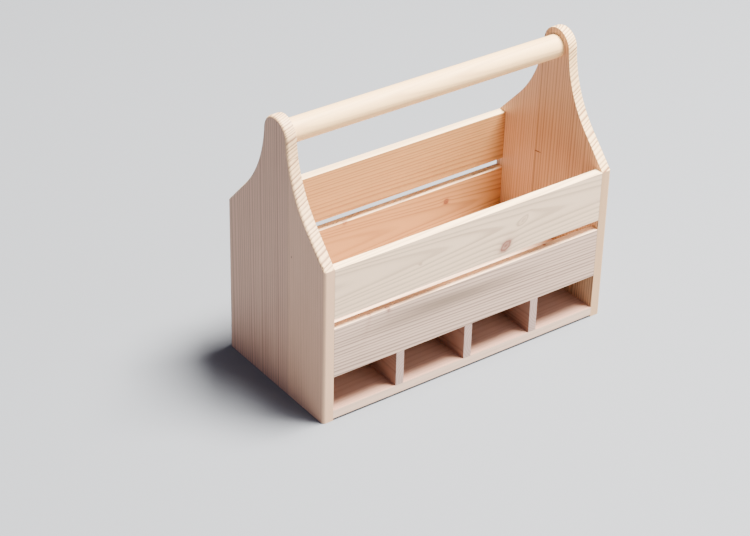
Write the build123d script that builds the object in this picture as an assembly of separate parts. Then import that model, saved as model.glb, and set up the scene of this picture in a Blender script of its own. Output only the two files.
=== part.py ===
from build123d import *
import math
import os

# Open wooden tool tote with a round handle and a row of small compartments in its base.
# Millimetres. +X runs along the handle, -Y is the open front of the compartments and +Z is up.
# The origin is on the ground under the middle of the tote.

# Whole tote
inside_length = 517.0  # clear length between the two ends
tote_depth = 262.0  # front to back
shoulder_height = 273.0  # top of the straight sides, flush with the upper boards

# Ends: each is glued up from a wide and a narrow board, then sawn to shape
end_thickness = 19.0
handle_height = 443.0  # ground to the handle's axis
neck_radius = 31.0  # rounded top of an end, about the handle's axis
cove_radius = 200.0  # hollow between the neck and the slope
slope_angle = 47.0  # the straight slope above the shoulder, from level
seam_offset = 35.0  # glue seam, from the end's centre line
outer_roundover = 5.0  # on the outside arris, down to the feet
inner_easing = 0.8  # narrow bevel on the inside arris above the shoulder

# Handle
handle_diameter = 38.0
socket_depth = 12.0  # blind hole in each end
socket_clearance = 0.1  # on the radius
socket_end_gap = 0.5

# Side boards: an upper and a lower one, front and back, with a slot between
side_thickness = 15.5
side_height = 88.0
slot_height = 17.0
arris = 1.0  # sanded edges of the side boards

# Base, floor, dividers and the compartments' rear wall
foot_height = 3.0  # the ends stand this far below the base
base_thickness = 15.5
floor_thickness = 15.5
rear_wall_thickness = 15.5
divider_thickness = 15.0
divider_count = 3
divider_easing = 0.6

# Joinery
housing_depth = 6.0  # base and floor let into the ends
housing_setback = 12.0  # the base's housing stops short of the front and back
divider_housing_depth = 4.0  # dividers let into the base and the floor
pin_diameter = 8.0
pin_length = 30.0
pin_in_end = 11.0  # the rest of the pin is in the board
pin_clearance = 0.05  # on the radius
pin_end_gap = 0.5
pin_spacing = 52.0  # two pins in each end of a side board

# Heights and depths that follow from the sizes above
upper_bottom = shoulder_height - side_height
lower_top = upper_bottom - slot_height
lower_bottom = lower_top - side_height
base_top = foot_height + base_thickness
half_length = inside_length / 2
half_depth = tote_depth / 2
inner_half_depth = half_depth - side_thickness
rear_wall_front = half_depth - rear_wall_thickness


def block(x, y, z):
    """A block from three (low, high) pairs."""
    size = (x[1] - x[0], y[1] - y[0], z[1] - z[0])
    centre = ((x[0] + x[1]) / 2, (y[0] + y[1]) / 2, (z[0] + z[1]) / 2)
    return Pos(*centre) * Box(*size)


def rod(radius, x):
    """A cylinder along X about the X axis, from x[0] to x[1]."""
    return Pos((x[0] + x[1]) / 2, 0, 0) * Rot(0, 90, 0) * Cylinder(radius, x[1] - x[0])


def end_outline():
    """Face of a whole end in the YZ plane: straight sides, slope, cove and rounded top."""
    slope = math.radians(slope_angle)
    up_slope = Vector(-math.cos(slope), math.sin(slope))
    off_slope = Vector(math.sin(slope), math.cos(slope))
    shoulder = Vector(half_depth, shoulder_height)
    axis = Vector(0, handle_height)
    # The cove's centre is one cove radius off the slope, and its circle touches the neck's.
    offset = shoulder + off_slope * cove_radius - axis
    middle = -offset.dot(up_slope)
    reach = neck_radius + cove_radius
    run = middle - math.sqrt(middle**2 - offset.dot(offset) + reach**2)
    cove_start = shoulder + up_slope * run
    cove_centre = cove_start + off_slope * cove_radius
    neck_point = axis + (cove_centre - axis).normalized() * neck_radius
    to_start = (cove_start - cove_centre).normalized()
    to_neck = (neck_point - cove_centre).normalized()
    cove_middle = cove_centre + (to_start + to_neck).normalized() * cove_radius
    top = axis + Vector(0, neck_radius)
    to_rim = (top - axis + neck_point - axis).normalized()
    half = [
        Line((0, 0), (half_depth, 0)),
        Line((half_depth, 0), shoulder),
        Line(shoulder, cove_start),
        ThreePointArc(cove_start, cove_middle, neck_point),
        ThreePointArc(neck_point, axis + to_rim * neck_radius, top),
        Line(top, (0, 0)),
    ]
    half_face = Plane.YZ * make_face(half)
    return half_face + mirror(half_face, about=Plane.XZ)


def side_board(bottom, front):
    """One long board between the ends, with its long edges eased."""
    y = (-half_depth, -inner_half_depth) if front else (inner_half_depth, half_depth)
    board = block((-half_length, half_length), y, (bottom, bottom + side_height))
    long_edges = board.edges().filter_by(Axis.X)
    if bottom == lower_bottom:
        # The edge that the floor is glued to stays square.
        inner_y = -inner_half_depth if front else inner_half_depth
        long_edges = [
            edge
            for edge in long_edges
            if abs(edge.center().Y - inner_y) + abs(edge.center().Z - bottom) > side_thickness / 2
        ]
    return fillet(long_edges, arris)


def base_board():
    """Base under the compartments, with a tongue at each end that stops short of the edges."""
    z = (foot_height, base_top)
    board = block((-half_length, half_length), (-half_depth, half_depth), z)
    lower_edges = board.edges().filter_by(Axis.X).group_by(Axis.Z)[0]
    board = fillet(lower_edges, arris)
    reach = half_length + housing_depth
    stop = half_depth - housing_setback
    return board + block((-reach, reach), (-stop, stop), z)


def main_floor():
    """Floor of the open well, between the lower side boards and let into both ends."""
    reach = half_length + housing_depth
    depth = (-inner_half_depth, inner_half_depth)
    return block((-reach, reach), depth, (lower_bottom, lower_bottom + floor_thickness))


def rear_wall():
    """Closes the compartments at the back, under the lower back board."""
    return block((-half_length, half_length), (rear_wall_front, half_depth), (base_top, lower_bottom))


def divider_places():
    """X of each divider's middle, for equal compartments."""
    width = (inside_length - divider_count * divider_thickness) / (divider_count + 1)
    pitch = width + divider_thickness
    first = -half_length + width + divider_thickness / 2
    return [first + pitch * i for i in range(divider_count)]


def divider(x):
    """Upright between two compartments, let into the base below and the floor above."""
    sides = (x - divider_thickness / 2, x + divider_thickness / 2)
    upright = block(sides, (-half_depth, rear_wall_front), (base_top, lower_bottom))
    front_edges = upright.edges().filter_by(Axis.Z).group_by(Axis.Y)[0]
    upright = fillet(front_edges, divider_easing)
    behind_front = -half_depth + housing_setback
    foot = block(sides, (behind_front, rear_wall_front), (base_top - divider_housing_depth, base_top))
    floor_span = (-inner_half_depth, min(inner_half_depth, rear_wall_front))
    head = block(sides, floor_span, (lower_bottom, lower_bottom + divider_housing_depth))
    return upright + foot + head


def pin_places():
    """(y, z) of the dowel pins in one end, by the name of the side board that they hold."""
    side_y = half_depth - side_thickness / 2
    upper_middle = upper_bottom + side_height / 2
    lower_middle = lower_bottom + side_height / 2
    rows = {
        "front_upper_board": (-side_y, upper_middle),
        "front_lower_board": (-side_y, lower_middle),
        "back_upper_board": (side_y, upper_middle),
        "back_lower_board": (side_y, lower_middle),
    }
    return {
        name: [(y, middle - pin_spacing / 2), (y, middle + pin_spacing / 2)]
        for name, (y, middle) in rows.items()
    }


def pin_span(end, gap):
    """(low, high) X of a pin in the left (-1) or right (+1) end, lengthened by a gap."""
    inner = end * (half_length - (pin_length - pin_in_end) - gap)
    outer = end * (half_length + pin_in_end + gap)
    return (min(inner, outer), max(inner, outer))


def pins(end):
    """The dowel pins of one end, as one group."""
    pin = rod(pin_diameter / 2, pin_span(end, 0))
    return [Pos(0, y, z) * pin for places in pin_places().values() for y, z in places]


def pin_holes(names):
    """Drilled holes for the pins of the named boards, in both ends."""
    places = pin_places()
    radius = pin_diameter / 2 + pin_clearance
    return [
        Pos(0, y, z) * rod(radius, pin_span(end, pin_end_gap))
        for name in names
        for y, z in places[name]
        for end in (-1, 1)
    ]


def handle():
    """Round handle, its ends seated in the blind sockets."""
    reach = half_length + socket_depth - socket_end_gap
    return Pos(0, 0, handle_height) * rod(handle_diameter / 2, (-reach, reach))


def handle_sockets():
    """Hollows for the handle in both ends."""
    reach = half_length + socket_depth
    radius = handle_diameter / 2 + socket_clearance
    return Pos(0, 0, handle_height) * rod(radius, (-reach, reach))


def edges_at(shape, x, above):
    """Edges that lie in the plane at x, with their middle above a height."""
    in_plane = [edge for edge in shape.edges() if edge.bounding_box().size.X < inner_easing]
    return [edge for edge in in_plane if abs(edge.center().X - x) < inner_easing and edge.center().Z > above]


def whole_end(end, seated):
    """One end before it is parted at its glue seam, cut for everything seated in it."""
    inside_x = end * half_length
    outside_x = end * (half_length + end_thickness)
    panel = Pos(inside_x, 0, 0) * extrude(end_outline(), amount=end * end_thickness)
    panel = fillet(edges_at(panel, outside_x, above=foot_height), outer_roundover)
    panel = chamfer(edges_at(panel, inside_x, above=shoulder_height), inner_easing)
    return panel - seated


def end_boards(end, seated):
    """The wide and narrow boards of one end. The two ends are turned half round to each other."""
    panel = whole_end(end, seated)
    reach = half_length + 2 * end_thickness
    tall = (-1, handle_height + 2 * neck_radius)
    seam = end * seam_offset
    outside = end * 2 * half_depth
    narrow_side = block((-reach, reach), (min(seam, outside), max(seam, outside)), tall)
    return panel - narrow_side, panel & narrow_side


def build():
    """Every node's solids by name."""
    boards = {
        "front_upper_board": side_board(upper_bottom, front=True),
        "front_lower_board": side_board(lower_bottom, front=True),
        "back_upper_board": side_board(upper_bottom, front=False),
        "back_lower_board": side_board(lower_bottom, front=False),
    }
    for name in boards:
        boards[name] -= pin_holes([name])
    dividers = [divider(x) for x in divider_places()]
    base = base_board()
    floor = main_floor()
    seated = [base, floor, handle_sockets(), *pin_holes(boards)]
    left_wide, left_narrow = end_boards(-1, seated)
    right_wide, right_narrow = end_boards(1, seated)
    nodes = {
        "left_end_wide_board": left_wide,
        "left_end_narrow_board": left_narrow,
        "right_end_wide_board": right_wide,
        "right_end_narrow_board": right_narrow,
        "handle": handle(),
        **boards,
        "compartment_rear_wall": rear_wall(),
        "main_floor": floor - dividers,
        "base_board": base - dividers,
        "left_dowel_pins": Compound(children=pins(-1)),
        "right_dowel_pins": Compound(children=pins(1)),
    }
    for number, upright in enumerate(dividers, start=1):
        nodes[f"divider_{number}"] = upright
    return nodes


os.makedirs("parts", exist_ok=True)
for node, shape in build().items():
    export_step(shape, f"parts/{node}.step")
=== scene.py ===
import bpy
import math
from mathutils import Matrix, Vector


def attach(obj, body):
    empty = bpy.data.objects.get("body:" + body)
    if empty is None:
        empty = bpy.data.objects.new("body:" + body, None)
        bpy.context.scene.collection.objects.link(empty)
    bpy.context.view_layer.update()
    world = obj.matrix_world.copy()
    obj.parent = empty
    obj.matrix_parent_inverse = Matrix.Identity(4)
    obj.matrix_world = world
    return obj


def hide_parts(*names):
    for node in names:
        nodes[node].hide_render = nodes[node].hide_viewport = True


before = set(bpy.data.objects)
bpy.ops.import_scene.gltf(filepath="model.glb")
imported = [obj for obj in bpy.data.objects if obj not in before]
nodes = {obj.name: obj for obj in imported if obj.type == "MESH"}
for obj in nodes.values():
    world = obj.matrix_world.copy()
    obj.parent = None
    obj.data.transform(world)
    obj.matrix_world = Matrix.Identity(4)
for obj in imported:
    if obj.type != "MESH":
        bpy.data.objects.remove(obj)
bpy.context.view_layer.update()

# ---------------------------------------------------------------------------------------------
# Left end: two boards of planed Scots pine, edge-glued, then band-sawn to shape and sanded.
# The board behind the seam is rift-sawn, so its growth rings run down its faces as fine lines.
# The board in front is flat-sawn: its faces are calm, and the rings show on its sawn edge.

# What an end is sawn from and to, in metres. The hollow of its side touches the slope and the neck.
end_thickness = 0.019
inside = 0.2585
half_depth = 0.131
shoulder_height = 0.273
axis_height = 0.443
neck_radius = 0.03095
cove_radius = 0.200
slope = math.radians(47)
roundover = 0.005
inner_easing = 0.0008
seam = 0.035
foot_height = 0.003
cove_steps = 48
neck_steps = 32
roundover_steps = 7
up_slope = Vector((-math.cos(slope), math.sin(slope)))
off_slope = Vector((math.sin(slope), math.cos(slope)))
offset = Vector((half_depth, shoulder_height - axis_height)) + off_slope * cove_radius
middle = -offset.dot(up_slope)
run = middle - math.sqrt(middle**2 - offset.length_squared + (neck_radius + cove_radius) ** 2)
cove_start = Vector((half_depth, shoulder_height)) + up_slope * run
cove_centre = cove_start + off_slope * cove_radius
from_slope = math.atan2(off_slope.y, off_slope.x) + math.pi
to_neck = math.atan2(axis_height - cove_centre.y, -cove_centre.x) % math.tau


def srgb(code):
    """An sRGB hex colour as linear RGBA."""
    channels = [int(code[i : i + 2], 16) / 255 for i in (1, 3, 5)]
    linear = [c / 12.92 if c <= 0.04045 else ((c + 0.055) / 1.055) ** 2.4 for c in channels]
    return (*linear, 1.0)


def add(tree, kind, settings=None, inputs=None, stops=()):
    """Adds a node, sets its properties, and fills or links its inputs.

    A list is several links to one input, and stops are a ramp's (place, grey) pairs.
    """
    made = tree.nodes.new(kind)
    for name, value in (settings or {}).items():
        setattr(made, name, value)
    for name, value in (inputs or {}).items():
        for one in value if isinstance(value, list) else [value]:
            if isinstance(one, bpy.types.Node):
                one = one.outputs[0]
            if isinstance(one, bpy.types.NodeSocket):
                tree.links.new(one, made.inputs[name])
            else:
                made.inputs[name].default_value = one
    for number, (at, grey) in enumerate(stops):
        points = made.color_ramp.elements
        point = points[number] if number < 2 else points.new(at)
        point.position, point.color = at, (grey, grey, grey, 1.0)
    return made


def softwood(
    name, pith, grain, ring_mm, early, late, strength, face, lighting_tint,
    wander_mm=4.0, taper=0.012, runout=0.0, edge_gain=0.0, edge_fade=0.0, knots=(), marks=(), joints=(),
):
    """Planed and sanded pine, cut from a trunk whose growth rings lie round a pith line.

    pith is a point on that line in metres, and grain turns +Z along it, in degrees. Every side of
    the board, its end grain too, shows the same rings. ring_mm is a year's growth. early and late
    are the spring wood's and the summer wood's colours, and strength is how far the one goes
    towards the other. face points across the board's planed faces, which take the tint's colour:
    painted light and shade, for how those faces are lit beside the edges. edge_fade takes contrast
    from the straight edges and gives them that share of the painted tint. Above the shoulder,
    edge_gain adds contrast, and runout is how fast the saw's cut bends away from the grain.
    A knot is (point, branch direction, radius in mm, how far the rings bend round it in mm,
    darkness). A mark is (point, direction, half length and half width in mm, colour, darkness,
    the share of it that is evenly dark). A joint is (axis, place in metres).
    """
    made = bpy.data.materials.new(name)
    made.use_nodes = True
    tree = made.node_tree
    tree.nodes.clear()
    place = add(tree, "ShaderNodeTexCoord").outputs["Object"]
    places = add(tree, "ShaderNodeSeparateXYZ", None, {0: place})
    in_trunk = add(tree, "ShaderNodeMapping", {"vector_type": "TEXTURE"}, {
        "Vector": place, "Location": pith,
        "Rotation": Vector(grain) * math.pi / 180, "Scale": (0.001, 0.001, 0.001),
    })

    # Planed faces are told from edges by the way they face.
    facing = add(tree, "ShaderNodeVectorMath", {"operation": "DOT_PRODUCT"}, {
        0: add(tree, "ShaderNodeNewGeometry").outputs["Normal"], 1: face,
    }).outputs["Value"]
    facing = add(tree, "ShaderNodeMath", {"operation": "ABSOLUTE"}, {0: facing})
    planed = add(tree, "ShaderNodeMapRange", None, {"Value": facing, "From Min": 0.80, "From Max": 0.99})
    edge = add(tree, "ShaderNodeMath", {"operation": "SUBTRACT"}, {0: 1.0, 1: planed})
    above = add(tree, "ShaderNodeMath", {"operation": "SUBTRACT"}, {0: places.outputs[2], 1: shoulder_height})
    sawn = add(tree, "ShaderNodeMath", {"operation": "GREATER_THAN"}, {0: above, 1: 0.0})
    sawn = add(tree, "ShaderNodeMath", {"operation": "MULTIPLY"}, {0: sawn, 1: edge})

    # The trunk isn't quite round or straight: the rings wander over a hand's breadth.
    slow = add(tree, "ShaderNodeVectorMath", {"operation": "MULTIPLY"}, {
        0: in_trunk, 1: (1 / 55, 1 / 55, 1 / 420),
    })
    slow = add(tree, "ShaderNodeTexNoise", None, {"Vector": slow, "Scale": 1.0, "Detail": 2.0})
    wandered = add(tree, "ShaderNodeVectorMath", {"operation": "MULTIPLY_ADD"}, {
        0: slow.outputs["Color"], 1: (2 * wander_mm, 2 * wander_mm, 0.0), 2: in_trunk,
    })
    across = add(tree, "ShaderNodeVectorMath", {"operation": "MULTIPLY"}, {0: wandered, 1: (1.0, 1.0, 0.0)})
    radius = add(tree, "ShaderNodeVectorMath", {"operation": "LENGTH"}, {0: across}).outputs["Value"]
    # The trunk gets thinner upwards, so a ring leaves a flat-sawn face in a long arch.
    along = add(tree, "ShaderNodeSeparateXYZ", None, {0: wandered}).outputs[2]
    radius = add(tree, "ShaderNodeMath", {"operation": "MULTIPLY_ADD"}, {0: along, 1: taper, 2: radius})
    # The saw leaves the grain more and more above the shoulder, and cuts the rings slantwise.
    bend = add(tree, "ShaderNodeMath", {"operation": "MULTIPLY"}, {0: above, 1: above})
    bend = add(tree, "ShaderNodeMath", {"operation": "MULTIPLY"}, {0: bend, 1: sawn})
    radius = add(tree, "ShaderNodeMath", {"operation": "MULTIPLY_ADD"}, {
        0: bend, 1: 1000 * runout, 2: radius,
    })

    knot_depths = []
    for point, branch, knot_mm, bend_mm, darkness in knots:
        turn = Vector(branch).to_track_quat("Z", "Y").to_euler()
        in_knot = add(tree, "ShaderNodeMapping", {"vector_type": "TEXTURE"}, {
            "Vector": place, "Location": point, "Rotation": turn,
            "Scale": (0.001 * knot_mm, 0.001 * knot_mm, 0.03),
        })
        rough = add(tree, "ShaderNodeTexNoise", None, {"Vector": in_knot, "Scale": 1.1, "Detail": 2.0})
        rough = add(tree, "ShaderNodeMath", {"operation": "SUBTRACT"}, {0: rough, 1: 0.5})
        depth = add(tree, "ShaderNodeVectorMath", {"operation": "LENGTH"}, {0: in_knot}).outputs["Value"]
        depth = add(tree, "ShaderNodeMath", {"operation": "MULTIPLY_ADD"}, {0: rough, 1: 0.5, 2: depth})
        reach = add(tree, "ShaderNodeMath", {"operation": "MULTIPLY_ADD"}, {0: depth, 1: depth, 2: 0.8})
        swell = add(tree, "ShaderNodeMath", {"operation": "DIVIDE"}, {0: bend_mm, 1: reach})
        radius = add(tree, "ShaderNodeMath", {"operation": "SUBTRACT"}, {0: radius, 1: swell})
        knot_depths.append((depth, darkness))

    # Good and bad years: the rings aren't equally wide, nor their dark bands equally strong.
    years = add(tree, "ShaderNodeMath", {"operation": "DIVIDE"}, {0: radius, 1: ring_mm})
    spells = add(tree, "ShaderNodeTexNoise", {"noise_dimensions": "1D"}, {
        "W": years, "Scale": 0.23, "Detail": 1.0,
    })
    years = add(tree, "ShaderNodeMath", {"operation": "MULTIPLY_ADD"}, {0: spells, 1: 2.2, 2: years})
    whole = add(tree, "ShaderNodeMath", {"operation": "FLOOR"}, {0: years})
    vigour = add(tree, "ShaderNodeTexWhiteNoise", {"noise_dimensions": "1D"}, {"W": whole})
    vigour = vigour.outputs["Value"]
    vigour = add(tree, "ShaderNodeMath", {"operation": "MULTIPLY_ADD"}, {0: vigour, 1: 0.5, 2: 0.58})
    # Spring wood is pale and passes slowly into the dark summer band, which ends at once.
    season = add(
        tree, "ShaderNodeValToRGB", None,
        {"Fac": add(tree, "ShaderNodeMath", {"operation": "FRACT"}, {0: years})},
        ((0.0, 0.30), (1.0, 0.30), (0.10, 0.04), (0.40, 0.06), (0.62, 0.40), (0.80, 1.0), (0.93, 0.90)),
    )
    contrast = add(tree, "ShaderNodeMath", {"operation": "MULTIPLY_ADD"}, {0: edge, 1: -edge_fade, 2: 1.0})
    contrast = add(tree, "ShaderNodeMath", {"operation": "MULTIPLY_ADD"}, {
        0: sawn, 1: edge_fade + edge_gain, 2: contrast,
    })
    contrast = add(tree, "ShaderNodeMath", {"operation": "MULTIPLY"}, {0: contrast, 1: strength})
    band = add(tree, "ShaderNodeMath", {"operation": "MULTIPLY"}, {0: season, 1: vigour})
    band = add(tree, "ShaderNodeMath", {"operation": "MULTIPLY"}, {0: band, 1: contrast})

    # Real fibres are 0.03 mm wide. They are drawn 0.8 mm wide and 40 mm long, to show at all.
    fine = add(tree, "ShaderNodeVectorMath", {"operation": "MULTIPLY"}, {
        0: in_trunk, 1: (1 / 0.8, 1 / 0.8, 1 / 40),
    })
    fibre = add(tree, "ShaderNodeTexNoise", None, {
        "Vector": fine, "Scale": 1.0, "Detail": 3.0, "Roughness": 0.6,
    })
    # Clouds of slightly darker wood, as wide as a finger and a hand long.
    broad = add(tree, "ShaderNodeVectorMath", {"operation": "MULTIPLY"}, {
        0: in_trunk, 1: (1 / 30, 1 / 30, 1 / 160),
    })
    cloud = add(tree, "ShaderNodeTexNoise", None, {"Vector": broad, "Scale": 1.0, "Detail": 3.0})
    tone = add(tree, "ShaderNodeMath", {"operation": "MULTIPLY_ADD"}, {0: fibre, 1: 0.30, 2: band})
    tone = add(tree, "ShaderNodeMath", {"operation": "MULTIPLY_ADD"}, {0: cloud, 1: 0.25, 2: tone})
    tone = add(tree, "ShaderNodeMath", {"operation": "SUBTRACT", "use_clamp": True}, {0: tone, 1: 0.275})
    colour = add(tree, "ShaderNodeMixRGB", None, {"Fac": tone, "Color1": srgb(early), "Color2": srgb(late)})
    # The planed faces, and a share of the straight edges, take the tint: painted light and shade for how
    # those faces are lit.
    straight = add(tree, "ShaderNodeMath", {"operation": "SUBTRACT"}, {0: edge, 1: sawn})
    painted_lighting_share = add(tree, "ShaderNodeMath", {"operation": "MULTIPLY_ADD"}, {0: straight, 1: edge_fade, 2: planed})
    colour = add(tree, "ShaderNodeMixRGB", {"blend_type": "MULTIPLY"}, {
        "Fac": painted_lighting_share, "Color1": colour, "Color2": srgb(lighting_tint),
    })

    for depth, darkness in knot_depths:
        # Outwards from the branch's own pith: its rings, its dark bark line and the stained wood
        # round it. The ramp ends at three times the knot's radius.
        core = add(
            tree, "ShaderNodeValToRGB", None,
            {"Fac": add(tree, "ShaderNodeMath", {"operation": "DIVIDE"}, {0: depth, 1: 3.0})},
            (
                (0.0, 0.95), (1.0, 0.0), (0.08, 0.8), (0.17, 0.68), (0.25, 0.8),
                (0.31, 0.92), (0.37, 0.6), (0.48, 0.22), (0.62, 0.08),
            ),
        )
        core = add(tree, "ShaderNodeMath", {"operation": "MULTIPLY"}, {0: core, 1: darkness})
        colour = add(tree, "ShaderNodeMixRGB", None, {
            "Fac": core, "Color1": colour, "Color2": srgb("#7A3E30"),
        })

    for point, direction, half_length_mm, half_width_mm, stain, darkness, even in marks:
        turn = Vector(direction).to_track_quat("Z", "Y").to_euler()
        size = (0.001 * half_width_mm, 0.001 * half_width_mm, 0.001 * half_length_mm)
        in_mark = add(tree, "ShaderNodeMapping", {"vector_type": "TEXTURE"}, {
            "Vector": place, "Location": point, "Rotation": turn, "Scale": size,
        })
        rough = add(tree, "ShaderNodeTexNoise", None, {"Vector": in_mark, "Scale": 1.3, "Detail": 2.0})
        rough = add(tree, "ShaderNodeMath", {"operation": "SUBTRACT"}, {0: rough, 1: 0.5})
        depth = add(tree, "ShaderNodeVectorMath", {"operation": "LENGTH"}, {0: in_mark}).outputs["Value"]
        depth = add(tree, "ShaderNodeMath", {"operation": "MULTIPLY_ADD"}, {0: rough, 1: 0.6, 2: depth})
        stained = add(tree, "ShaderNodeMapRange", {"interpolation_type": "SMOOTHSTEP"}, {
            "Value": depth, "From Min": even, "From Max": 1.0, "To Min": darkness, "To Max": 0.0,
        })
        colour = add(tree, "ShaderNodeMixRGB", None, {
            "Fac": stained, "Color1": colour, "Color2": srgb(stain),
        })

    # A hairline of shadow, 0.8 mm wide, where a board meets its neighbour on a planed face.
    for axis, at in joints:
        aside = add(tree, "ShaderNodeMath", {"operation": "SUBTRACT"}, {0: places.outputs[axis], 1: at})
        aside = add(tree, "ShaderNodeMath", {"operation": "ABSOLUTE"}, {0: aside})
        near = add(tree, "ShaderNodeMath", {"operation": "LESS_THAN"}, {0: aside, 1: 0.0004})
        near = add(tree, "ShaderNodeMath", {"operation": "MULTIPLY"}, {0: near, 1: planed})
        near = add(tree, "ShaderNodeMath", {"operation": "MULTIPLY"}, {0: near, 1: 0.45})
        colour = add(tree, "ShaderNodeMixRGB", None, {
            "Fac": near, "Color1": colour, "Color2": srgb("#5A3A2A"),
        })

    # Sanded bare wood: nearly matt, rougher along the fibres, the hard summer bands a little proud.
    matt = add(tree, "ShaderNodeMath", {"operation": "MULTIPLY_ADD"}, {0: fibre, 1: 0.12, 2: 0.50})
    height = add(tree, "ShaderNodeMath", {"operation": "MULTIPLY_ADD"}, {0: band, 1: 0.5, 2: fibre})
    relief = add(tree, "ShaderNodeBump", None, {"Strength": 0.25, "Distance": 0.0003, "Height": height})
    shader = add(tree, "ShaderNodeBsdfPrincipled", None, {
        "Base Color": colour, "Roughness": matt, "IOR": 1.45, "Normal": relief,
    })
    add(tree, "ShaderNodeOutputMaterial", None, {"Surface": shader})
    return made


# The panel: half its outline is three straight lines and two arcs. It is mirrored, filled and
# given its thickness. The inner easing is a share of the roundover.
weld = 0.00001  # ends that meet become one
panel = bpy.data.node_groups.new("sawn end panel", "GeometryNodeTree")
panel_sizes = {
    "Inner face": inside,
    "Thickness": end_thickness,
    "Half depth": half_depth,
    "Shoulder height": shoulder_height,
    "Handle height": axis_height,
    "Neck radius": neck_radius,
    "Cove radius": cove_radius,
    "Cove start across": cove_start.x,
    "Cove start up": cove_start.y,
    "Cove centre across": cove_centre.x,
    "Cove centre up": cove_centre.y,
    "Cove from": from_slope,
    "Cove sweep": to_neck - from_slope,
    "Neck from": to_neck - math.pi,
    "Neck sweep": 1.5 * math.pi - to_neck,
    "Inner easing": inner_easing / roundover,
    "Foot height": foot_height,
}
for size_name, size in panel_sizes.items():
    panel.interface.new_socket(size_name, in_out="INPUT", socket_type="NodeSocketFloat").default_value = size
panel.interface.new_socket("Side", in_out="INPUT", socket_type="NodeSocketFloat").default_value = 1.0
panel.interface.new_socket("Panel", in_out="OUTPUT", socket_type="NodeSocketGeometry")
given = add(panel, "NodeGroupInput").outputs
foot = add(panel, "ShaderNodeCombineXYZ", None, {0: given["Half depth"]})
shoulder = add(panel, "ShaderNodeCombineXYZ", None, {0: given["Half depth"], 1: given["Shoulder height"]})
hollow = add(panel, "ShaderNodeCombineXYZ", None, {
    0: given["Cove start across"], 1: given["Cove start up"],
})
centre = add(panel, "ShaderNodeCombineXYZ", None, {
    0: given["Cove centre across"], 1: given["Cove centre up"],
})
handle_axis = add(panel, "ShaderNodeCombineXYZ", None, {1: given["Handle height"]})
cove = add(panel, "GeometryNodeCurveArc", {"mode": "RADIUS"}, {
    "Resolution": cove_steps, "Radius": given["Cove radius"],
    "Start Angle": given["Cove from"], "Sweep Angle": given["Cove sweep"],
})
neck = add(panel, "GeometryNodeCurveArc", {"mode": "RADIUS"}, {
    "Resolution": neck_steps, "Radius": given["Neck radius"],
    "Start Angle": given["Neck from"], "Sweep Angle": given["Neck sweep"],
})
half = add(panel, "GeometryNodeJoinGeometry", None, {0: [
    add(panel, "GeometryNodeCurvePrimitiveLine", None, {"Start": (0, 0, 0), "End": foot}),
    add(panel, "GeometryNodeCurvePrimitiveLine", None, {"Start": foot, "End": shoulder}),
    add(panel, "GeometryNodeCurvePrimitiveLine", None, {"Start": shoulder, "End": hollow}),
    add(panel, "GeometryNodeTransform", None, {"Geometry": cove, "Translation": centre}),
    add(panel, "GeometryNodeTransform", None, {"Geometry": neck, "Translation": handle_axis}),
]})
other_half = add(panel, "GeometryNodeTransform", None, {"Geometry": half, "Scale": (-1, 1, 1)})
outline = add(panel, "GeometryNodeJoinGeometry", None, {0: [half, other_half]})
outline = add(panel, "GeometryNodeCurveToMesh", None, {0: outline})
outline = add(panel, "GeometryNodeMergeByDistance", None, {"Geometry": outline, "Distance": weld})
outline = add(panel, "GeometryNodeMeshToCurve", None, {0: outline})
inner_face = add(panel, "GeometryNodeFillCurve", {"mode": "NGONS"}, {0: outline})
slab = add(panel, "GeometryNodeExtrudeMesh", {"mode": "FACES"}, {
    "Mesh": inner_face, "Offset": (0, 0, 1), "Offset Scale": given["Thickness"], "Individual": False,
})
slab = add(panel, "GeometryNodeJoinGeometry", None, {0: [
    slab, add(panel, "GeometryNodeFlipFaces", None, {0: inner_face}),
]})
slab = add(panel, "GeometryNodeMergeByDistance", None, {"Geometry": slab, "Distance": weld})
# Drawn flat, it is stood up across the tote, with the left end's slab outside its inner face.
is_left = add(panel, "ShaderNodeMath", {"operation": "LESS_THAN"}, {0: given["Side"], 1: 0.0})
inner_x = add(panel, "ShaderNodeMath", {"operation": "MULTIPLY"}, {0: given["Inner face"], 1: given["Side"]})
slab_x = add(panel, "ShaderNodeMath", {"operation": "MULTIPLY"}, {0: is_left, 1: given["Thickness"]})
slab_x = add(panel, "ShaderNodeMath", {"operation": "SUBTRACT"}, {0: inner_x, 1: slab_x})
slab = add(panel, "GeometryNodeTransform", None, {
    "Geometry": slab,
    "Translation": add(panel, "ShaderNodeCombineXYZ", None, {0: slab_x}),
    "Rotation": (math.pi / 2, 0, math.pi / 2),
})
# Which arrises the router rounds: the outer ones fully, down to the feet, and the inner ones above
# the shoulder a little. An edge is told by its middle, to a tenth of a millimetre.
spot = add(panel, "ShaderNodeSeparateXYZ", None, {0: add(panel, "GeometryNodeInputPosition")})
reach = add(panel, "ShaderNodeMath", {"operation": "MULTIPLY"}, {0: spot, 1: given["Side"]})
outer_x = add(panel, "ShaderNodeMath", {"operation": "ADD"}, {0: given["Inner face"], 1: given["Thickness"]})
on_outer = add(panel, "ShaderNodeMath", {"operation": "COMPARE"}, {0: reach, 1: outer_x, 2: 0.0001})
on_inner = add(panel, "ShaderNodeMath", {"operation": "COMPARE"}, {
    0: reach, 1: given["Inner face"], 2: 0.0001,
})
off_foot = add(panel, "ShaderNodeMath", {"operation": "GREATER_THAN"}, {
    0: spot.outputs[2], 1: given["Foot height"],
})
shaped = add(panel, "ShaderNodeMath", {"operation": "GREATER_THAN"}, {
    0: spot.outputs[2], 1: given["Shoulder height"],
})
eased = add(panel, "ShaderNodeMath", {"operation": "MULTIPLY"}, {0: on_inner, 1: shaped})
eased = add(panel, "ShaderNodeMath", {"operation": "MULTIPLY"}, {0: eased, 1: given["Inner easing"]})
rounded = add(panel, "ShaderNodeMath", {"operation": "MULTIPLY_ADD"}, {0: on_outer, 1: off_foot, 2: eased})
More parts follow.
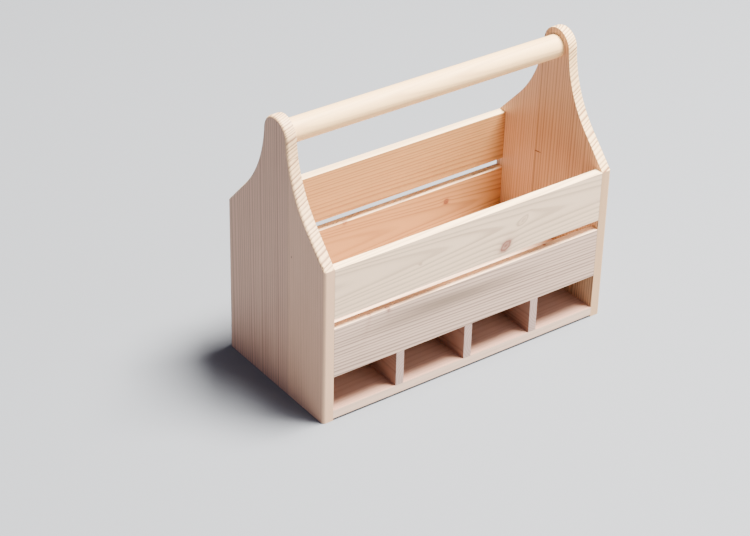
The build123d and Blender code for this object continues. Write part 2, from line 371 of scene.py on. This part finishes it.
slab = add(panel, "GeometryNodeStoreNamedAttribute", {"data_type": "FLOAT", "domain": "EDGE"}, {
    "Geometry": slab, "Name": "bevel_weight_edge", "Value": rounded,
})
add(panel, "NodeGroupOutput", None, {"Panel": slab})

# Its seats: housings for the base and the floor, the handle's blind hole and eight pin holes. All
# cutters pass from end to end. Then it is parted at the glue seam, and one board of two is kept.
crease_angle = 0.45  # radians; anything less is part of a curve
cut_weld = 0.000002  # as weld, after the cutting
housing_depth = 0.006
board_thickness = 0.0155
seats = bpy.data.node_groups.new("seats and seam", "GeometryNodeTree")
seats.interface.new_socket("Panel", in_out="INPUT", socket_type="NodeSocketGeometry")
seat_sizes = {
    "Base housing": (2 * (inside + housing_depth), 0.238, board_thickness),
    "Base housing's middle": (0.0, 0.0, 0.01075),
    "Floor housing": (2 * (inside + housing_depth), 0.231, board_thickness),
    "Floor housing's middle": (0.0, 0.0, 0.08775),
    "Handle hole's middle": (0.0, 0.0, axis_height),
    "Handle hole radius": 0.0191,
    "Handle hole length": 2 * (inside + 0.012),
    "Pin hole radius": 0.00405,
    "Pin hole length": 2 * (inside + 0.0115),
    "Pin spacing": 0.052,
    "Pin rows apart": 0.2465,
    "Lower board's middle": (0.0, 0.0, 0.124),
    "Upper board's middle": (0.0, 0.0, 0.229),
    "Cut away": (0.0, 0.0, 0.0),
}
for size_name, size in seat_sizes.items():
    kind = "NodeSocketVector" if isinstance(size, tuple) else "NodeSocketFloat"
    seats.interface.new_socket(size_name, in_out="INPUT", socket_type=kind).default_value = size
seats.interface.new_socket("Wood", in_out="INPUT", socket_type="NodeSocketMaterial")
seats.interface.new_socket("Board", in_out="OUTPUT", socket_type="NodeSocketGeometry")
given = add(seats, "NodeGroupInput").outputs
base_housing = add(seats, "GeometryNodeTransform", None, {
    0: add(seats, "GeometryNodeMeshCube", None, {"Size": given["Base housing"]}),
    "Translation": given["Base housing's middle"],
})
floor_housing = add(seats, "GeometryNodeTransform", None, {
    0: add(seats, "GeometryNodeMeshCube", None, {"Size": given["Floor housing"]}),
    "Translation": given["Floor housing's middle"],
})
handle_hole = add(seats, "GeometryNodeMeshCylinder", None, {
    "Vertices": 72, "Radius": given["Handle hole radius"], "Depth": given["Handle hole length"],
})
handle_hole = add(seats, "GeometryNodeTransform", None, {
    0: handle_hole, "Rotation": (0, math.pi / 2, 0), "Translation": given["Handle hole's middle"],
})
pin_hole = add(seats, "GeometryNodeMeshCylinder", None, {
    "Vertices": 24, "Radius": given["Pin hole radius"], "Depth": given["Pin hole length"],
})
pin_hole = add(seats, "GeometryNodeTransform", None, {0: pin_hole, "Rotation": (0, math.pi / 2, 0)})
four = add(seats, "GeometryNodeMeshGrid", None, {
    "Size X": given["Pin rows apart"], "Size Y": given["Pin spacing"], "Vertices X": 2, "Vertices Y": 2,
})
pin_places = add(seats, "GeometryNodeJoinGeometry", None, {0: [
    add(seats, "GeometryNodeTransform", None, {
        0: four, "Rotation": (math.pi / 2, 0, math.pi / 2), "Translation": given[f"{level} board's middle"],
    })
    for level in ("Lower", "Upper")
]})
pin_holes = add(seats, "GeometryNodeInstanceOnPoints", None, {"Points": pin_places, "Instance": pin_hole})
cutters = add(seats, "GeometryNodeJoinGeometry", None, {
    0: [base_housing, floor_housing, handle_hole, pin_holes],
})
cutters = add(seats, "GeometryNodeRealizeInstances", None, {0: cutters})
board = add(seats, "GeometryNodeMeshBoolean", {"operation": "DIFFERENCE", "solver": "EXACT"}, {
    "Mesh 1": given["Panel"], "Mesh 2": cutters,
})
parted = add(seats, "GeometryNodeTransform", None, {
    0: add(seats, "GeometryNodeMeshCube", None, {"Size": (1, 1, 2)}), "Translation": given["Cut away"],
})
board = add(seats, "GeometryNodeMeshBoolean", {"operation": "DIFFERENCE", "solver": "EXACT"}, {
    "Mesh 1": board, "Mesh 2": parted,
})
board = add(seats, "GeometryNodeMergeByDistance", None, {"Geometry": board, "Distance": cut_weld})
board = add(seats, "GeometryNodeSetShadeSmooth", {"domain": "FACE"}, {0: board, "Shade Smooth": True})
bent = add(seats, "GeometryNodeInputMeshEdgeAngle").outputs["Unsigned Angle"]
curved = add(seats, "ShaderNodeMath", {"operation": "LESS_THAN"}, {0: bent, 1: crease_angle})
board = add(seats, "GeometryNodeSetShadeSmooth", {"domain": "EDGE"}, {0: board, "Shade Smooth": curved})
board = add(seats, "GeometryNodeRealizeInstances", None, {0: board})
board = add(seats, "GeometryNodeSetMaterial", None, {0: board, "Material": given["Wood"]})
add(seats, "NodeGroupOutput", None, {"Board": board})


def sawn_board(name, node, side, seam_y, cut_away, wood):
    """One board of an end, in place of its CAD node. cut_away is the side of the seam that goes."""
    blank = bpy.data.objects.new("blank", bpy.data.meshes.new("blank"))
    bpy.context.scene.collection.objects.link(blank)
    shape = blank.modifiers.new("shape", "NODES")
    shape.node_group = panel
    shape[panel.interface.items_tree["Side"].identifier] = float(side)
    router = blank.modifiers.new("router", "BEVEL")
    router.limit_method = "WEIGHT"
    router.width = roundover
    router.segments = roundover_steps
    router.use_clamp_overlap = False
    joinery = blank.modifiers.new("joinery", "NODES")
    joinery.node_group = seats
    # The cutting block is a metre wide, and one side of it lies in the seam.
    joinery[seats.interface.items_tree["Cut away"].identifier] = (0.0, seam_y + 0.5 * cut_away, 0.0)
    joinery[seats.interface.items_tree["Wood"].identifier] = wood
    blank.modifiers.new("flat faces", "WEIGHTED_NORMAL").keep_sharp = True
    ready = blank.evaluated_get(bpy.context.evaluated_depsgraph_get())
    piece = bpy.data.objects.new(name, bpy.data.meshes.new_from_object(ready))
    bpy.data.objects.remove(blank)
    # The cutters bring an empty slot, ahead of the wood's.
    piece.data.materials.pop(index=0)
    bpy.context.scene.collection.objects.link(piece)
    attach(piece, "root")
    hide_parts(node)


# Rift-sawn pine: straight fine lines on the face, broad soft strokes where the saw cut the neck.
# The mauve tint on its faces is painted shade: the cool light on the shaded end.
sawn_board("left_end_wide", "left_end_wide_board", -1, -seam, -1, softwood(
    "rift-sawn pine, left end", (-0.358, 0.200, 0.25), (0.6, -0.4, 0), 5.2, "#EAC492", "#6E4634", 0.52,
    (1, 0, 0), "#DBD1E9", wander_mm=2.5, runout=-2.2, edge_gain=0.8, edge_fade=0.7, joints=((1, -seam),),
))
# Flat-sawn pine: a calm face with a speck of pitch, and strokes along the sawn slope.
# The mauve tint on its faces is painted shade: the cool light on the shaded end.
sawn_board("left_end_narrow", "left_end_narrow_board", -1, -seam, 1, softwood(
    "flat-sawn pine, left end", (-0.310, 0.050, 0.25), (-0.5, 0.8, 0), 5.6, "#EAC492", "#6E4634", 0.20,
    (1, 0, 0), "#E4DAEE", wander_mm=2.0, runout=-2.2, edge_gain=3.6, edge_fade=0.7,
    marks=(
        ((-0.2775, -0.0446, 0.257), (0, 0, 1), 2.6, 1.2, "#4A2A20", 0.9, 0.5),
        ((-0.2755, -0.124, 0.279), (0, 0.3, 1), 2.6, 1.6, "#4A2A20", 0.8, 0.5),
    ),
    joints=((1, -seam),),
))

# ---------------------------------------------------------------------------------------------
# Right end: the same two boards of planed pine, glued and sawn in one with the left end.
# It stands turned half round, so its wide board is at the front and its narrow one behind.

# Rift-sawn pine, a little off the board's length: thin brown lines, and a short pitch pocket.
# The greyish mauve tint on its faces is painted shade.
sawn_board("right_end_wide", "right_end_wide_board", 1, seam, 1, softwood(
    "rift-sawn pine, right end", (0.200, 0.110, 0.25), (1.5, 0.5, 0), 5.8, "#F2CC92", "#6C3C24", 0.62,
    (1, 0, 0), "#D0C7D3", wander_mm=2.5, runout=-2.2, edge_gain=0.5, edge_fade=0.85,
    marks=(((0.2585, 0.0285, 0.2385), (0, -1, 0.16), 12.0, 1.7, "#5A2E1C", 0.95, 0.4),),
))
# Quarter-sawn pine: even, closer lines.
# The greyish tint on its faces is painted shade.
sawn_board("right_end_narrow", "right_end_narrow_board", 1, seam, -1, softwood(
    "quarter-sawn pine, right end", (0.220, -0.030, 0.25), (1.0, 0.3, 0), 5.2, "#F4D2A4", "#7A4A2C", 0.50,
    (1, 0, 0), "#D8CCCC", wander_mm=2.5, runout=-2.2, edge_gain=0.5, edge_fade=0.55, joints=((1, seam),),
))

# ---------------------------------------------------------------------------------------------
# Base board and floor: planed pine, let into housings in the ends and glued.
# The base closes the compartments below, and the floor parts them from the open well.


def finish_node(name, material):
    """Gives a CAD node its material in every slot."""
    mesh = nodes[name].data
    mesh.materials.clear()
    mesh.materials.append(material)


# Flat-sawn pine: a plain front edge, and a greyer top, painted shade on the compartments' floors.
finish_node("base_board", softwood(
    "flat-sawn pine, base", (0.0, -0.04, 0.075), (0, 90.5, 0.6), 5.4, "#DCBCA2", "#6E4634", 0.18,
    (0, 0, 1), "#C6B4B2",
))
# Flat-sawn pine: paler, with arched figure along the bottom of the well.
finish_node("main_floor", softwood(
    "flat-sawn pine, floor", (0.0, 0.03, 0.150), (0, 89.5, -0.5), 5.6, "#F0D8BC", "#7A4A2C", 0.45,
    (0, 0, 1), "#F4E8E0",
))

# ---------------------------------------------------------------------------------------------
# Dividers and rear wall of the compartments: short pine boards, grain from front to back.
# The dividers stand in housings in the base and the floor, and their front edges are end grain.

divider_pitch = 0.133
for number in (1, 2, 3):
    # End-grain pine to the front, greyish; warm planed sides, their tint painted shade inside the
    # compartments.
    x = divider_pitch * (number - 2)
    finish_node(f"divider_{number}", softwood(
        f"planed pine, divider {number}", (x + 0.03, 0.0, 0.01 + 0.02 * number), (90.0, 0, 0), 4.0,
        "#B0968A", "#6A4638", 0.4, (1, 0, 0), "#E0C2AC",
    ))
# Flat-sawn pine, like the boards above it.
finish_node("compartment_rear_wall", softwood(
    "flat-sawn pine, rear wall", (0.0, 0.165, 0.05), (0, 90.6, 0.3), 5.4, "#E6C69E", "#7A4A2C", 0.5,
    (0, 1, 0), "#E0CAB8",
))

# ---------------------------------------------------------------------------------------------
# Side boards: four lengths of planed pine, 88 mm wide, with sanded edges.
# Each is glued and pinned between the ends, and a slot is left between upper and lower.

# The hairlines where the boards' ends meet the two end panels.
at_the_ends = ((0, -0.2583), (0, 0.2583))

# Flat-sawn pine: pale, low contrast, a mauve-brown knot and two faint swirls round lesser ones.
# The cool tint on its faces is painted light: the front face lit bluer than the tops.
finish_node("front_upper_board", softwood(
    "flat-sawn pine, front upper board", (0.0, -0.098, 0.235), (0, 90.5, 0.3), 5.5,
    "#FADAAA", "#785240", 0.38, (0, 1, 0), "#EEF0FF", taper=0.03,
    knots=(
        ((0.067, -0.131, 0.203), (0.62, -0.62, 0.48), 7.0, 7.0, 1.0),
        ((0.100, -0.131, 0.239), (0.70, -0.40, 0.60), 4.0, 6.0, 0.18),
        ((-0.100, -0.131, 0.227), (0.50, -0.70, -0.30), 2.5, 2.0, 0.22),
    ),
    joints=at_the_ends,
))
# Rift-sawn pine: straight grey-brown lines and a broad darker streak of slow growth.
# The cool grey tint on its faces is painted light and shade on the front face.
finish_node("front_lower_board", softwood(
    "rift-sawn pine, front lower board", (0.0, -0.125, 0.036), (0, 90.3, 0.0), 5.7,
    "#EDCBA6", "#5A4038", 0.74, (0, 1, 0), "#E0E0EE", taper=0.02,
    knots=(
        ((-0.158, -0.128, 0.168), (0, -0.3, 1), 3.5, 2.0, 0.8),
        ((-0.192, -0.127, 0.168), (0.3, 0, 1), 2.8, 2.0, 0.7),
        ((0.157, -0.119, 0.168), (0, 0.2, 1), 2.0, 1.0, 1.0),
    ),
    marks=(((-0.050, -0.131, 0.141), (1, 0, -0.012), 235.0, 24.0, "#84705E", 0.95, 0.0),),
    joints=at_the_ends,
))
# Rift-sawn pine, yellower: even lines.
# The tan tint on its faces is painted light: warm light bounced round inside the well.
finish_node("back_upper_board", softwood(
    "rift-sawn pine, back upper board", (0.0, 0.150, 0.170), (0, 89.6, 0.3), 5.2, "#F2D2A0", "#7E4A2A", 0.45,
    (0, 1, 0), "#C5AA8A", joints=at_the_ends,
))
# Flat-sawn pine, yellower: arched figure round two small knots.
# The tan tint on its faces is painted light: warm light bounced round inside the well.
finish_node("back_lower_board", softwood(
    "flat-sawn pine, back lower board", (0.0, 0.140, 0.118), (0, 90.6, 0.4), 6.0, "#F0CEA2", "#85502C", 0.45,
    (0, 1, 0), "#CFB490", taper=0.035,
    knots=(
        ((0.141, 0.1155, 0.1385), (0.3, -1, 0.1), 4.2, 4.0, 1.0),
        ((-0.066, 0.1155, 0.1665), (0.5, -1, 0.6), 3.0, 3.0, 0.7),
    ),
    joints=at_the_ends,
))

# ---------------------------------------------------------------------------------------------
# Handle: a turned bar of birch, 38 mm thick and sanded smooth.
# It is glued into blind holes, 12 mm deep, in the necks of the two ends.

# Turned and sanded birch: smooth and even, with only a breath of lengthwise figure.
finish_node("handle", softwood(
    "turned birch, handle", (0.0, 0.060, 0.400), (0, 90.2, 0.2), 3.0, "#EEC68A", "#9A6A4A", 0.26,
    (1, 0, 0), "#D8B898",
))

# ---------------------------------------------------------------------------------------------
# Dowel pins: short rods of beech, 8 mm thick, glued into the ends and the side boards.
# They are hidden in the closed joints.

# Milled beech: darker and closer-grained than the pine.
pin_wood = softwood(
    "milled beech, dowel pins", (0.0, 0.0, 0.1), (0, 90, 0), 2.0,
    "#D9B48C", "#8A5A3A", 0.3, (1, 0, 0), "#D8B898",
)
finish_node("left_dowel_pins", pin_wood)
finish_node("right_dowel_pins", pin_wood)

# ---------------------------------------------------------------------------------------------
# Studio: a roll of pale paper for a floor, and three soft boxes.
# The key hangs high over the right end, so tops are bright and the left end is in shade.

floor_mesh = bpy.data.meshes.new("studio_floor")
floor_mesh.from_pydata([(-15, -15, 0), (15, -15, 0), (15, 15, 0), (-15, 15, 0)], [], [(0, 1, 2, 3)])
studio_floor = bpy.data.objects.new("studio_floor", floor_mesh)
bpy.context.scene.collection.objects.link(studio_floor)
# Matt paper: grey by itself, it comes out pale under the key.
paper = bpy.data.materials.new("matt paper")
paper.use_nodes = True
paper.node_tree.nodes["Principled BSDF"].inputs["Base Color"].default_value = srgb("#74797F")
paper.node_tree.nodes["Principled BSDF"].inputs["Roughness"].default_value = 0.8
floor_mesh.materials.append(paper)

world = bpy.data.worlds.new("studio")
bpy.context.scene.world = world
world.use_nodes = True
world.node_tree.nodes["Background"].inputs["Color"].default_value = srgb("#E0DAEE")
world.node_tree.nodes["Background"].inputs["Strength"].default_value = 0.28


def soft_light(name, place, aim, width, power, lighting_tint):
    """A square soft box, facing a point."""
    lamp = bpy.data.lights.new(name, "AREA")
    lamp.shape = "SQUARE"
    lamp.size = width
    lamp.energy = power
    lamp.color = srgb(lighting_tint)[:3]
    box = bpy.data.objects.new(name, lamp)
    box.location = place
    box.rotation_euler = (Vector(place) - Vector(aim)).to_track_quat("Z", "Y").to_euler()
    bpy.context.scene.collection.objects.link(box)


soft_light("key", (1.7, -0.96, 5.9), (0, 0, 0.2), 2.4, 3600, "#FFF8F0")
soft_light("fill", (-3.2, -0.9, 0.8), (0, 0, 0.2), 1.8, 11, "#D0C6FF")
soft_light("front", (1.4, -3.0, 1.7), (0, 0, 0.15), 2.8, 100, "#F6F6FF")

# ---------------------------------------------------------------------------------------------
# Camera: a long lens, from the left and above, as the photograph was taken.
# Its place, turn and lens were fitted to the tote's corners in the photograph.

camera_data = bpy.data.cameras.new("camera")
camera_data.lens = 105.04
camera_data.sensor_width = 36.0
camera = bpy.data.objects.new("camera", camera_data)
azimuth, elevation, roll = (math.radians(angle) for angle in (-36.488, 32.146, 1.360))
back = Vector((
    math.sin(azimuth) * math.cos(elevation),
    -math.cos(azimuth) * math.cos(elevation),
    math.sin(elevation),
))
level_right = Vector((0, 0, 1)).cross(back).normalized()
level_up = back.cross(level_right)
right = math.cos(roll) * level_right + math.sin(roll) * level_up
turn = Matrix((right, back.cross(right), back)).transposed().to_4x4()
camera.matrix_world = Matrix.Translation(Vector((-0.0888, 0.0, 0.1484)) + back * 3.4515) @ turn
bpy.context.scene.collection.objects.link(camera)
bpy.context.scene.camera = camera
